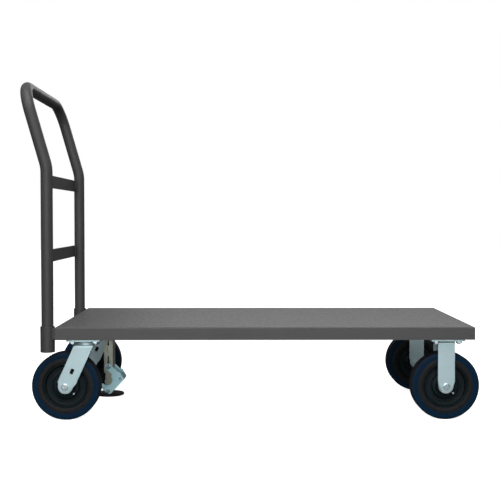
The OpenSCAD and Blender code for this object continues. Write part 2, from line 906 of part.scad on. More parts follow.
// The point at a distance along the straight edge
function web_point(distance) = foot_edge()[3] + distance * heel_run();

// The outward normal of the path's stretch that starts at point i
function out_of(path, i) = let (run = path[i + 1] - path[i]) [-run[1], run[0]] / norm(run);

// The path's points moved inwards by the sheet's thickness
function inset(path) = [
    for (i = [0 : len(path) - 1])
        let (
            before = out_of(path, max(i - 1, 0)),
            after = out_of(path, min(i, len(path) - 2))
        )
        path[i] - lever_t * (before + after) / (1 + before * after)
];

// A strip of the pedal's sheet, whose outer face follows a path
module strip(path) {
    inner = inset(path);
    polygon(concat(path, [for (i = [len(path) - 1 : -1 : 0]) inner[i]]));
}

// The pedal's cheek, with the lower pivot at the origin and the knee up and out
module cheek_outline() {
    difference() {
        polygon(concat(
            [
                [6, knee_up + 7.5], [knee_reach - 10, knee_up + 22.3],
                [knee_reach - 2, knee_up + 22.5]
            ],
            foot_edge(),
            [heel(), [0, -9], [-17, 4], [-20.5, 15.5], [-20.5, 22], [-10, 40]]
        ));
        translate(notch_place) circle(notch_r);
        polygon([[-30, 22.5], [-20.4, 22.5], notch_place, [6, 49], [6, 60], [-30, 60]]);
        circle(lower_pin_r + running_clear);
        translate([knee_reach, knee_up]) circle(knee_rivet_r);
    }
}

module lock_pedal() {
    web_half = cheek_y + overlap;
    tongue_half = link_y - lever_gap;
    color(zinc) at_lock(lower_pin_z) {
        slab_y(cheek_y, cheek_y + lever_t) cheek_outline();
        slab_y(-cheek_y - lever_t, -cheek_y) cheek_outline();
        // The web joins the two cheeks below the links' ends, and goes on as a tongue,
        // which the foot presses, between the windows that the links swing in
        difference() {
            slab_y(-web_half, web_half) strip(concat(foot_edge(), [web_point(web_to)]));
            for (y0 = [tongue_half, -cheek_y - lever_t])
                slab_y(y0, y0 + cheek_y + lever_t - tongue_half)
                    translate(web_point(web_from))
                    rotate(atan2(heel_run()[1], heel_run()[0]))
                    translate([-knee_reach, -knee_reach]) square([knee_reach, 2 * knee_reach]);
        }
    }
}

module lock_links() {
    link_l = norm([knee_reach, knee_up]);
    swing = atan(knee_reach / knee_up);
    color(zinc) at_lock(upper_pin_z) for (side = [-1, 1]) {
        y0 = side > 0 ? link_y : -link_y - lever_t;
        slab_y(y0, y0 + lever_t) rotate(swing) difference() {
            union() {
                circle(link_r);
                translate([0, -link_l]) circle(link_r);
                translate([-link_r, -link_l]) square([2 * link_r, link_l]);
            }
            circle(upper_pin_r + running_clear);
            translate([0, -link_l]) circle(knee_rivet_r + knee_clear);
        }
    }
}

// Points round the wire at one place along the spring's helix
function spring_ring(t) =
    let (a = t * spring_turns * 360, z = spring_wire_r + t * (spring_l - 2 * spring_wire_r))
    [for (k = [0 : spring_sides - 1])
        let (b = k * 360 / spring_sides, r = spring_r + spring_wire_r * cos(b))
        [r * cos(a), r * sin(a), z + spring_wire_r * sin(b)]];

module lock_spring() {
    points = [for (i = [0 : spring_rings]) each spring_ring(i / spring_rings)];
    last = spring_rings * spring_sides;
    walls = [for (i = [0 : spring_rings - 1], k = [0 : spring_sides - 1])
        let (a = i * spring_sides, k2 = (k + 1) % spring_sides)
        [a + k, a + k2, a + spring_sides + k2, a + spring_sides + k]];
    ends = [
        [for (k = [spring_sides - 1 : -1 : 0]) k],
        [for (k = [0 : spring_sides - 1]) last + k]
    ];
    color(zinc) at_lock(ram_top) polyhedron(points, concat(walls, ends));
}

// ---------- Nodes ----------

deck_pan();
rear_bolster();
front_bolster();
deck_stringers();
handle_socket(RIGHT);  // handle_socket_right
handle_socket(LEFT);  // handle_socket_left
mounting_bolts();
mounting_nuts();
handle_tube();
upper_crossbar();
lower_crossbar();
swivel_plate(RIGHT);  // swivel_plate_right
swivel_plate(LEFT);  // swivel_plate_left
kingpins();
swivel_balls(RIGHT);  // swivel_balls_right
swivel_balls(LEFT);  // swivel_balls_left
swivel_fork(RIGHT);  // swivel_fork_right
swivel_fork(LEFT);  // swivel_fork_left
swivel_axle_bolt(RIGHT);  // swivel_axle_bolt_right
swivel_axle_bolt(LEFT);  // swivel_axle_bolt_left
swivel_axle_nut(RIGHT);  // swivel_axle_nut_right
swivel_axle_nut(LEFT);  // swivel_axle_nut_left
swivel_bushing(RIGHT);  // swivel_bushing_right
swivel_bushing(LEFT);  // swivel_bushing_left
swivel_washers(RIGHT);  // swivel_washers_right
swivel_washers(LEFT);  // swivel_washers_left
rigid_plate(RIGHT);  // rigid_plate_right
rigid_plate(LEFT);  // rigid_plate_left
rigid_fork(RIGHT);  // rigid_fork_right
rigid_fork(LEFT);  // rigid_fork_left
rigid_axle_bolts();
rigid_axle_nuts();
rigid_bushings();
rigid_washers();
at_swivel_wheel(RIGHT) tread();  // tread_swivel_right
at_swivel_wheel(LEFT) tread();  // tread_swivel_left
at_rigid_wheel(RIGHT) tread();  // tread_rigid_right
at_rigid_wheel(LEFT) tread();  // tread_rigid_left
at_swivel_wheel(RIGHT) core();  // core_swivel_right
at_swivel_wheel(LEFT) core();  // core_swivel_left
at_rigid_wheel(RIGHT) core();  // core_rigid_right
at_rigid_wheel(LEFT) core();  // core_rigid_left
at_swivel_wheel(RIGHT) bearing();  // bearing_swivel_right
at_swivel_wheel(LEFT) bearing();  // bearing_swivel_left
at_rigid_wheel(RIGHT) bearing();  // bearing_rigid_right
at_rigid_wheel(LEFT) bearing();  // bearing_rigid_left
at_swivel_wheel(RIGHT) grease_fitting(RIGHT);  // grease_fitting_swivel_right
at_swivel_wheel(LEFT) grease_fitting(LEFT);  // grease_fitting_swivel_left
at_rigid_wheel(RIGHT) grease_fitting(RIGHT);  // grease_fitting_rigid_right
at_rigid_wheel(LEFT) grease_fitting(LEFT);  // grease_fitting_rigid_left
lock_frame();
lock_upper_pin();
lock_spring();
lock_ram();
lock_foot_disc();
lock_foot_pad();
lock_lower_pin();
lock_pedal();
lock_knee_rivets();
lock_links();
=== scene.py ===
import json
import math

import bmesh
import bpy
from mathutils import Matrix, Vector


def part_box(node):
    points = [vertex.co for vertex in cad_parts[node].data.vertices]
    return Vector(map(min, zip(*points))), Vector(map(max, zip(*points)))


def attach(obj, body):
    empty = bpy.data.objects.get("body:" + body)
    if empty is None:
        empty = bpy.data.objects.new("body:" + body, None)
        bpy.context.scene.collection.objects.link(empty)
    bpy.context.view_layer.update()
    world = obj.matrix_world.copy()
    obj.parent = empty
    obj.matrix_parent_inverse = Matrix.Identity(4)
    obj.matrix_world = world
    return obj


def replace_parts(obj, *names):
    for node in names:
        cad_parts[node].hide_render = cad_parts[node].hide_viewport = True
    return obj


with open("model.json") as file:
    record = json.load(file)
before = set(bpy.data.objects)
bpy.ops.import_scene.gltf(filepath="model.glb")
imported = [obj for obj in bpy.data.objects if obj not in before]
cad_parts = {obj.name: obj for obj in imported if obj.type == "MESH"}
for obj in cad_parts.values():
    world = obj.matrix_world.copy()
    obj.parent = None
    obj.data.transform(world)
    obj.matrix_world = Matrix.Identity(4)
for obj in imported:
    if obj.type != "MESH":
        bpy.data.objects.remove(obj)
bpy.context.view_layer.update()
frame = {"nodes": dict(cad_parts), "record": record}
RECORD = frame["record"]
SLOT_OF = {part["node"]: part["material_slot"] for part in RECORD["subparts"]}
BODY_OF = {
    node: body for body, nodes in RECORD["behaviour"]["bodies"].items() for node in nodes
}
SIDES = {"right": -1, "left": 1}
MM = 0.001

# Sizes of the real truck that a node's box doesn't give
TUBE_R = 17.45 * MM
TUBE_WALL = 2.5 * MM
LEG_BEND_R = 115 * MM
CORNER_R = 80 * MM
HANDLE_LEAN = math.radians(16)
SHEET_T = 3 * MM
FLANGE_BEND_R = 5 * MM
FLANGE_CORNER_R = 1.6 * MM
CROSSBAR_T = 5 * MM

# How finely the round pieces are cut
TUBE_SIDES = 48
WHEEL_SEGMENTS = 160

# Where the photograph's camera stood, and the way that it looked
CAMERA_PLACE = (-0.0232, -3.121, 0.5945)
CAMERA_TURN = (math.radians(90 - 1.9), 0, math.radians(-0.46))
CAMERA_LENS = 70.27
SENSOR_WIDTH = 36

# Each light's place, its target, its two sizes in metres and its power in watts
LIGHTS = {
    "top": ((0.0, -1.5, 3.2), (0, 0, 0.3), (3.2, 2.4), 112),
    "front": ((-0.4, -4.6, 1.5), (0, 0, 0.5), (4.0, 3.0), 85),
    "low": ((0.1, -3.4, 0.35), (0, 0, 0.15), (3.0, 0.4), 18),
    "key": ((-2.4, -2.6, 2.4), (0, 0, 0.2), (0.7, 0.7), 16),
    "rear": ((0.6, 3.6, 2.4), (0, 0, 0.4), (3.0, 2.0), 28),
}
# How strongly the room lights the truck, from the horizon up to this height of the sky
ROOM_LOW, ROOM_HIGH, ROOM_TOP = 0.09, 0.42, 0.9
FLOOR_SIZE = 15
FLOOR_GLOW = 0.9


# ---------- Materials ----------


class Finish:
    """A Principled material that is built up from procedural layers, in metres."""

    def __init__(self, name, colour, metallic, roughness, specular=0.5):
        self.material = bpy.data.materials.new(name)
        self.material.use_nodes = True
        self.tree = self.material.node_tree
        self.shader = self.tree.nodes["Principled BSDF"]
        self.shader.inputs["Metallic"].default_value = metallic
        self.shader.inputs["Specular IOR Level"].default_value = specular
        self.place = self.node("ShaderNodeTexCoord").outputs["Object"]
        self.colour = (*colour, 1.0)
        self.roughness = roughness
        self.normal = None

    def node(self, kind, **settings):
        made = self.tree.nodes.new(kind)
        for key, value in settings.items():
            setattr(made, key, value)
        return made

    def feed(self, socket, value):
        """Links a socket to another, or sets its value."""
        if isinstance(value, bpy.types.NodeSocket):
            self.tree.links.new(value, socket)
        else:
            socket.default_value = value

    def noise(self, period, detail=2.0, stretch=(1, 1, 1), turn=(0, 0, 0)):
        """Noise with features about one period across, longer where stretch is more than 1."""
        mapping = self.node("ShaderNodeMapping")
        mapping.inputs["Scale"].default_value = [1 / s for s in stretch]
        mapping.inputs["Rotation"].default_value = turn
        self.feed(mapping.inputs["Vector"], self.place)
        noise = self.node("ShaderNodeTexNoise")
        noise.inputs["Scale"].default_value = 1 / period
        noise.inputs["Detail"].default_value = detail
        self.feed(noise.inputs["Vector"], mapping.outputs["Vector"])
        return noise.outputs["Fac"]

    def remap(self, value, low, high, out_low=0.0, out_high=1.0):
        node = self.node("ShaderNodeMapRange", interpolation_type="SMOOTHSTEP")
        for socket, number in zip(node.inputs[1:5], (low, high, out_low, out_high)):
            socket.default_value = number
        self.feed(node.inputs["Value"], value)
        return node.outputs["Result"]

    def maths(self, operation, a, b):
        node = self.node("ShaderNodeMath", operation=operation)
        self.feed(node.inputs[0], a)
        self.feed(node.inputs[1], b)
        return node.outputs["Value"]

    def attribute(self, name):
        return self.node("ShaderNodeAttribute", attribute_name=name).outputs["Fac"]

    def tint(self, mask, colour):
        """Shifts the colour so far towards another where the mask is 1."""
        node = self.node("ShaderNodeMix", data_type="RGBA")
        self.feed(node.inputs["Factor"], mask)
        self.feed(node.inputs["A"], self.colour)
        self.feed(node.inputs["B"], (*colour, 1.0))
        self.colour = node.outputs["Result"]

    def roughen(self, mask, low, high):
        """Roughness that follows a mask."""
        self.roughness = self.remap(mask, 0.3, 0.7, low, high)

    def emboss(self, height, depth):
        """Bump of the given depth in metres where the height is 1."""
        node = self.node("ShaderNodeBump")
        node.inputs["Distance"].default_value = depth
        self.feed(node.inputs["Height"], height)
        if self.normal:
            self.feed(node.inputs["Normal"], self.normal)
        self.normal = node.outputs["Normal"]

    def scratches(self, width, length, share, turn=(0, 0, 0)):
        """A mask of sparse, thin lines along X, turned by an angle."""
        lines = self.noise(width, 1.0, (length / width, 1, 1), turn)
        patches = self.noise(20 * width, 2.0, (1, 1.3, 1))
        line = self.remap(lines, 0.74, 0.78)
        return self.maths("MULTIPLY", line, self.remap(patches, 1 - share, 1.05 - share))

    def done(self):
        self.feed(self.shader.inputs["Base Color"], self.colour)
        self.feed(self.shader.inputs["Roughness"], self.roughness)
        if self.normal:
            self.feed(self.shader.inputs["Normal"], self.normal)
        return self.material


def grey_paint(name, depth):
    """Dark grey powder coat: satin, with a fine orange peel, faint rubs and thin edges.
    The depth scales its colours, to darken the handle's copy of this paint as painted shade."""
    colour, cloud_colour, fine_colour = (
        [depth * c for c in base]
        for base in ((0.062, 0.062, 0.063), (0.071, 0.071, 0.071), (0.050, 0.050, 0.052))
    )
    f = Finish(name, colour, 0.0, 0.4, 0.22)
    cloud = f.noise(0.22, 3.0)
    f.tint(f.remap(cloud, 0.35, 0.7, 0.0, 0.5), cloud_colour)
    f.tint(f.remap(f.noise(0.0025, 1.0), 0.4, 0.8, 0.0, 0.3), fine_colour)
    rub = f.maths("ADD", f.scratches(0.0011, 0.12, 0.42, (0, 0, 0.35)),
                  f.scratches(0.0009, 0.08, 0.40, (0, 0, -1.1)))
    f.tint(f.maths("MULTIPLY", rub, 0.35), (0.15, 0.15, 0.15))
    worn = f.maths("MULTIPLY", f.attribute("edge"), f.remap(f.noise(0.012, 3.0), 0.5, 0.62))
    f.tint(f.maths("MULTIPLY", worn, 0.5), (0.17, 0.17, 0.17))
    f.roughen(f.maths("ADD", f.noise(0.006, 2.0), f.maths("MULTIPLY", rub, -0.2)), 0.34, 0.50)
    f.emboss(f.noise(0.0019, 1.5), 0.00005)
    f.emboss(cloud, 0.0006)
    return f.done()


def plated(name, colour, cool, warm, roughness, lines=(1, 1, 1), metallic=1.0):
    """Zinc plate over steel: clouded, with fine drawing lines and bright edges."""
    f = Finish(name, colour, metallic, roughness)
    f.tint(f.remap(f.noise(0.035, 3.0), 0.45, 0.75, 0.0, 0.6), cool)
    f.tint(f.remap(f.noise(0.021, 4.0, (1.4, 1, 1)), 0.52, 0.78, 0.0, 0.55), warm)
    grain = f.noise(0.0012, 2.0)
    f.tint(f.remap(grain, 0.55, 0.8, 0.0, 0.3), [0.6 * c for c in colour])
    f.tint(f.maths("MULTIPLY", f.attribute("edge"), 0.5), [min(1, 1.35 * c) for c in colour])
    drawn = f.noise(0.0009, 2.0, lines)
    f.roughen(f.maths("ADD", f.maths("MULTIPLY", grain, 0.5), f.maths("MULTIPLY", drawn, 0.5)),
              roughness - 0.08, roughness + 0.12)
    f.emboss(drawn, 0.000012)
    f.emboss(f.noise(0.004, 3.0), 0.00004)
    return f.done()


def zinc_plate():
    return plated("zinc_plate", (0.43, 0.56, 0.59), (0.36, 0.52, 0.57), (0.46, 0.53, 0.51),
                  0.42, (1, 1, 30), 0.75)


def bright_zinc():
    return plated("bright_zinc", (0.62, 0.72, 0.76), (0.40, 0.62, 0.74), (0.66, 0.70, 0.66),
                  0.26)


def lock_zinc():
    return plated("lock_zinc", (0.40, 0.43, 0.36), (0.40, 0.45, 0.42), (0.38, 0.35, 0.25),
                  0.38, (1, 1, 40), 0.85)


def pedal_zinc():
    return plated("pedal_zinc", (0.56, 0.92, 1.0), (0.48, 0.88, 1.0), (0.64, 0.92, 0.96),
                  0.34, metallic=0.35)


def bearing_steel():
    """Ground and oiled steel, with turning marks."""
    f = Finish("bearing_steel", (0.42, 0.43, 0.44), 1.0, 0.28)
    f.tint(f.remap(f.noise(0.008, 3.0), 0.5, 0.75, 0.0, 0.5), (0.30, 0.28, 0.24))
    f.roughen(f.noise(0.0015, 2.0), 0.18, 0.36)
    f.emboss(f.noise(0.0008, 1.0, (1, 12, 1)), 0.00001)
    return f.done()


def blue_tread():
    """Smooth cast rubber: deep blue sides, and a rolling face tinted brownish in patches."""
    f = Finish("blue_tread", (0.0004, 0.013, 0.033), 0.0, 0.32, 0.08)
    f.tint(f.remap(f.noise(0.045, 3.0), 0.45, 0.75, 0.0, 0.55), (0.0005, 0.017, 0.041))
    f.tint(f.remap(f.noise(0.003, 2.0), 0.5, 0.8, 0.0, 0.3), (0.0003, 0.009, 0.023))
    # Tints the rolling face brownish in patches, fading out over the shoulders
    brown_patches = f.remap(f.noise(0.014, 5.0), 0.3, 0.72, 0.35, 1.0)
    f.tint(f.maths("MULTIPLY", f.attribute("rolling"), brown_patches), (0.026, 0.021, 0.018))
    f.roughen(f.maths("ADD", f.noise(0.005, 3.0), f.maths("MULTIPLY", f.attribute("rolling"), 0.3)),
              0.30, 0.62)
    f.emboss(f.noise(0.0016, 2.0), 0.00004)
    return f.done()


def black_core():
    """Moulded nylon: a fine grain, flow marks and a slight sheen."""
    f = Finish("black_core", (0.004, 0.009, 0.011), 0.0, 0.34, 0.12)
    f.tint(f.remap(f.noise(0.030, 4.0, (1, 1, 1.6)), 0.42, 0.75, 0.0, 0.6), (0.006, 0.013, 0.016))
    f.tint(f.remap(f.noise(0.0014, 2.0), 0.5, 0.8, 0.0, 0.4), (0.004, 0.006, 0.008))
    f.tint(f.maths("MULTIPLY", f.attribute("rim"), 0.8), (0.0125, 0.0115, 0.012))
    f.roughen(f.noise(0.007, 3.0), 0.26, 0.44)
    f.emboss(f.noise(0.0011, 2.0), 0.00004)
    return f.done()


def black_rubber():
    """Matte moulded rubber with dust in its grain."""
    f = Finish("black_rubber", (0.012, 0.012, 0.012), 0.0, 0.7, 0.3)
    f.tint(f.remap(f.noise(0.010, 4.0), 0.5, 0.8, 0.0, 0.5), (0.035, 0.033, 0.030))
    f.roughen(f.noise(0.003, 3.0), 0.6, 0.85)
    f.emboss(f.noise(0.0018, 3.0), 0.0001)
    return f.done()


def black_steel():
    """Steel disc in black paint, rubbed at its rim."""
    f = Finish("black_steel", (0.020, 0.020, 0.021), 0.0, 0.45, 0.5)
    f.tint(f.remap(f.noise(0.012, 3.0), 0.5, 0.75, 0.0, 0.5), (0.040, 0.038, 0.036))
    f.tint(f.maths("MULTIPLY", f.attribute("edge"), 0.6), (0.12, 0.12, 0.12))
    f.roughen(f.noise(0.004, 2.0), 0.38, 0.6)
    f.emboss(f.noise(0.0015, 2.0), 0.00004)
    return f.done()


def weld_paint():
    """Painted weld bead: the same grey, a little rougher and uneven."""
    f = Finish("weld_paint", (0.062, 0.062, 0.063), 0.0, 0.45, 0.22)
    f.tint(f.remap(f.noise(0.004, 3.0), 0.45, 0.75, 0.0, 0.6), (0.095, 0.095, 0.095))
    f.roughen(f.noise(0.002, 2.0), 0.36, 0.56)
    f.emboss(f.noise(0.0012, 2.0), 0.00008)
    return f.done()


def pale_floor():
    """White floor that glows, so that it is as white as the room."""
    f = Finish("pale_floor", (0.80, 0.80, 0.80), 0.0, 0.7, 0.2)
    f.shader.inputs["Emission Color"].default_value = (1, 1, 1, 1)
    f.shader.inputs["Emission Strength"].default_value = FLOOR_GLOW
    f.tint(f.remap(f.noise(1.4, 3.0), 0.4, 0.7, 0.0, 0.5), (0.82, 0.82, 0.82))
    f.roughen(f.noise(0.05, 3.0), 0.6, 0.8)
    return f.done()


MATERIALS = {
    # The handle's paint is the deck's grey darkened to 0.7, as painted shade
    "grey_paint": grey_paint("grey_paint", 1.0), "shaded_handle_paint": grey_paint("shaded_handle_paint", 0.7),
    "zinc_plate": zinc_plate(), "bright_zinc": bright_zinc(),
    "lock_zinc": lock_zinc(), "pedal_zinc": pedal_zinc(), "bearing_steel": bearing_steel(),
    "blue_tread": blue_tread(), "black_core": black_core(), "black_rubber": black_rubber(),
    "black_steel": black_steel(), "weld_paint": weld_paint(),
}
# The handle's nodes, whose grey paint is darkened as painted shade
HANDLE_SHADED_NODES = {
    "handle_tube", "upper_crossbar", "lower_crossbar", "handle_socket_right", "handle_socket_left",
}


# ---------- Mesh helpers ----------


def piece(name, mesh_data, node, sharp=35, material=None):
    """Makes an object on a CAD node's body, in the node's material or the one named.
    Edges sharper than the angle, in degrees, stay sharp."""
    mesh_data.validate()
    mesh_data.shade_smooth()
    mesh_data.set_sharp_from_angle(angle=math.radians(sharp))
    mesh_data.materials.clear()
    # The handle's nodes take the grey paint darkened as painted shade
    finish = material or ("shaded_handle_paint" if node in HANDLE_SHADED_NODES else SLOT_OF[node])
    mesh_data.materials.append(MATERIALS[finish])
    made = bpy.data.objects.new(name, mesh_data)
    bpy.context.scene.collection.objects.link(made)
    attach(made, BODY_OF[node])
    return made


def to_mesh(bm, name):
    mesh = bpy.data.meshes.new(name)
    bm.to_mesh(mesh)
    bm.free()
    return mesh


def sweep(bm, path, radii, sides, cross=None):
    """Sweeps a round section along a path, one radius a point, with its ends left open.
    Returns the rings of vertices. cross is the direction that the first ring starts at."""
    rings = []
    side = Vector(cross) if cross else None
    for i, point in enumerate(path):
        after, before = path[min(i + 1, len(path) - 1)], path[max(i - 1, 0)]
        along = (after - before).normalized()
        if side is None:
            side = along.orthogonal()
        side = (side - along * side.dot(along)).normalized()
        up = along.cross(side)
        ring = []
        for k in range(sides):
            a = 2 * math.pi * k / sides
            ring.append(bm.verts.new(point + radii[i] * (math.cos(a) * side + math.sin(a) * up)))
        rings.append(ring)
    for a, b in zip(rings, rings[1:]):
        for k in range(sides):
            j = (k + 1) % sides
            bm.faces.new((a[k], a[j], b[j], b[k]))
    return rings


def capped_sweep(bm, path, radii, sides):
    """The same, closed at both ends."""
    rings = sweep(bm, path, radii, sides)
    bm.faces.new(list(reversed(rings[0])))
    bm.faces.new(rings[-1])


def arc(centre, start, axis, angle, steps):
    """Points on an arc from start, turned about an axis through the centre."""
    return [
        centre + Matrix.Rotation(angle * i / steps, 3, axis) @ (start - centre)
        for i in range(steps + 1)
    ]


def rounded(corners, steps):
    """A closed outline from (x, y, fillet radius) corners, each corner turned to an arc."""
    outline = []
    count = len(corners)
    for i, (x, y, radius) in enumerate(corners):
        here = Vector((x, y))
        to_before = Vector(corners[i - 1][:2]) - here
        to_after = Vector(corners[(i + 1) % count][:2]) - here
        half = to_before.angle(to_after) / 2
        reach = min(radius / math.tan(half), 0.45 * to_before.length, 0.45 * to_after.length)
        radius = reach * math.tan(half)
        if radius < 1e-6:
            outline.append(here)
            continue
        start = here + to_before.normalized() * reach
        end = here + to_after.normalized() * reach
        middle = (to_before.normalized() + to_after.normalized()).normalized()
        centre = here + middle * (radius / math.sin(half))
        turn = (start - centre).angle_signed(end - centre)
        for k in range(steps + 1):
            a = -turn * k / steps
            offset = start - centre
            outline.append(centre + Vector((
                offset.x * math.cos(a) - offset.y * math.sin(a),
                offset.x * math.sin(a) + offset.y * math.cos(a),
            )))
    return outline


def lathe(name, outline, centre, segments):
    """Turns a closed outline of (radius, offset along Y) about an axis along Y."""
    bm = bmesh.new()
    rings = []
    for i in range(segments):
        a = 2 * math.pi * i / segments
        rings.append([
            bm.verts.new((centre.x + p.x * math.cos(a), centre.y + p.y, centre.z + p.x * math.sin(a)))
            for p in outline
        ])
    count = len(outline)
    for i in range(segments):
        a, b = rings[i], rings[(i + 1) % segments]
        for k in range(count):
            j = (k + 1) % count
            bm.faces.new((a[k], a[j], b[j], b[k]))
    bmesh.ops.recalc_face_normals(bm, faces=bm.faces)
    return to_mesh(bm, name)


def paint_points(mesh, name, measure):
    """Stores a number at each vertex, for a material to read."""
    layer = mesh.attributes.new(name, "FLOAT", "POINT")
    layer.data.foreach_set("value", [measure(v.co) for v in mesh.vertices])


def flatten(made):
    """Keeps the shading of large faces flat beside their rounded edges."""
    weighted = made.modifiers.new("weighted normals", "WEIGHTED_NORMAL")
    weighted.mode = "FACE_AREA"
    weighted.weight = 100
    weighted.keep_sharp = True


def softened(node, width, segments=2, angle=32):
    """A copy of a CAD node whose sharp edges are rounded over, as pressed steel's are."""
    bm = bmesh.new()
    bm.from_mesh(frame["nodes"][node].data)
    edge = bm.faces.layers.float.new("edge")
    bmesh.ops.remove_doubles(bm, verts=bm.verts, dist=2e-6)
    bmesh.ops.dissolve_limit(bm, angle_limit=math.radians(0.4), verts=bm.verts, edges=bm.edges)
    limit = math.radians(angle)
    sharp = [e for e in bm.edges if e.is_manifold and e.calc_face_angle(0) > limit]
    cut = bmesh.ops.bevel(bm, geom=sharp, offset=width, offset_type="OFFSET", segments=segments,
                          profile=0.5, affect="EDGES", clamp_overlap=True)
    for face in cut["faces"]:
        face[edge] = 1.0
    bmesh.ops.recalc_face_normals(bm, faces=bm.faces)
    mesh = to_mesh(bm, node + "_mesh")
    if "custom_normal" in mesh.attributes:
        mesh.attributes.remove(mesh.attributes["custom_normal"])
    made = piece(node + ".finished", mesh, node)
    flatten(made)
    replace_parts(made, node)


# ---------- Pieces ----------


def box_centre(node):
    low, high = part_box(node)
    return (low + high) / 2


def make_handle():
    """The bent tube, as one smooth sweep from foot to foot, with its open bore."""
    low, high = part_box("handle_tube")
    leg = Vector((high.x - TUBE_R, high.y - TUBE_R, low.z))
    lean = Vector((-math.sin(HANDLE_LEAN), 0, math.cos(HANDLE_LEAN)))
    rail = Vector((low.x + TUBE_R, 0, high.z - TUBE_R))
    lean_l = (leg.x - rail.x) / math.sin(HANDLE_LEAN)
    knee = Vector((leg.x, leg.y, rail.z - lean_l * math.cos(HANDLE_LEAN)))
    run = LEG_BEND_R * math.tan(HANDLE_LEAN / 2)
    bend_start = knee - Vector((0, 0, run))
    bend_centre = bend_start - Vector((LEG_BEND_R, 0, 0))
    straight_rings = (0, 0.12, 0.3)
    half = [leg + Vector((0, 0, up)) for up in straight_rings]
    half += arc(bend_centre, bend_start, Vector((0, 1, 0)), -HANDLE_LEAN, 10)
    corner_start = knee + lean * (lean_l - CORNER_R)
    corner_centre = corner_start - Vector((0, CORNER_R, 0))
    axis = lean.cross(Vector((0, 1, 0)))
    half += arc(corner_centre, corner_start, axis, -math.pi / 2, 24)
    mirrored = [Vector((p.x, -p.y, p.z)) for p in reversed(half)]
    path = half + [Vector((half[-1].x, 0, half[-1].z))] + mirrored
    bm = bmesh.new()
    outer = sweep(bm, path, [TUBE_R] * len(path), TUBE_SIDES, (1, 0, 0))
    inner = sweep(bm, path, [TUBE_R - TUBE_WALL] * len(path), TUBE_SIDES, (1, 0, 0))
    for end in (0, -1):
        for k in range(TUBE_SIDES):
            j = (k + 1) % TUBE_SIDES
            bm.faces.new((outer[end][k], outer[end][j], inner[end][j], inner[end][k]))
    bmesh.ops.recalc_face_normals(bm, faces=bm.faces)
    made = piece("handle_tube.finished", to_mesh(bm, "handle_tube_mesh"), "handle_tube", 50)
    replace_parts(made, "handle_tube")


def make_deck():
    """The deck sheet, its flanges turned down round a smooth bend."""
    low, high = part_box("deck_pan")
    bm = bmesh.new()
    bmesh.ops.create_cube(bm, size=1)
    for v in bm.verts:
        for i in range(3):
            v.co[i] = high[i] if v.co[i] > 0 else low[i]
    bottom = [f for f in bm.faces if f.normal.z < -0.5]
    bmesh.ops.delete(bm, geom=bottom, context="FACES_ONLY")
    top = [e for e in bm.edges if all(v.co.z > high.z - MM for v in e.verts)]
    bmesh.ops.bevel(bm, geom=top, offset=FLANGE_BEND_R, segments=8, profile=0.5, affect="EDGES")
    edge = bm.faces.layers.float.new("edge")
    upright = [e for e in bm.edges if abs((e.verts[0].co - e.verts[1].co).z) > 20 * MM]
    upright = [e for e in upright if not e.is_boundary and e.calc_face_angle(0) > 1]
    cut = bmesh.ops.bevel(bm, geom=upright, offset=FLANGE_CORNER_R, segments=4, profile=0.5,
                          affect="EDGES")
    for face in cut["faces"]:
        face[edge] = 1.0
    bmesh.ops.recalc_face_normals(bm, faces=bm.faces)
    mesh = to_mesh(bm, "deck_pan_mesh")
    made = piece("deck_pan.finished", mesh, "deck_pan", 30)
    solid = made.modifiers.new("thickness", "SOLIDIFY")
    solid.thickness = SHEET_T
    solid.offset = -1
    solid.use_even_offset = True
    solid.use_quality_normals = True
    flatten(made)
    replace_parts(made, "deck_pan")


def make_tread(kind, side):
    """The rubber tyre, with rounded shoulders and a fine groove round each side."""
    node = f"tread_{kind}_{side}"
    low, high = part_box(node)
    radius, half = (high.z - low.z) / 2, (high.y - low.y) / 2
    core_low, core_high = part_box(f"core_{kind}_{side}")
    inner = (core_high.z - core_low.z) / 2
    line, shoulder_r, foot_r = radius - 13 * MM, 8 * MM, 0.8 * MM
    groove_half, groove_depth = 0.8 * MM, 0.5 * MM
    one_side = [
        (inner, -half, foot_r), (line - groove_half, -half, 0.1 * MM),
        (line, -half + groove_depth, 0.3 * MM), (line + groove_half, -half, 0.1 * MM),
        (radius, -half, shoulder_r),
    ]
    outline = one_side + [(r, -y, f) for r, y, f in reversed(one_side)]
    centre = box_centre(node)
    mesh = lathe(node + "_mesh", rounded(outline, 8), centre, WHEEL_SEGMENTS)

    def rolling(p):
        """1 on the rolling face, fading to 0 over the shoulders."""
        r = math.hypot(p.x - centre.x, p.z - centre.z)
        return max(0.0, min(1.0, (r - radius + 3.5 * MM) / (3 * MM)))

    paint_points(mesh, "rolling", rolling)
    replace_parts(piece(node + ".finished", mesh, node, 40), node)


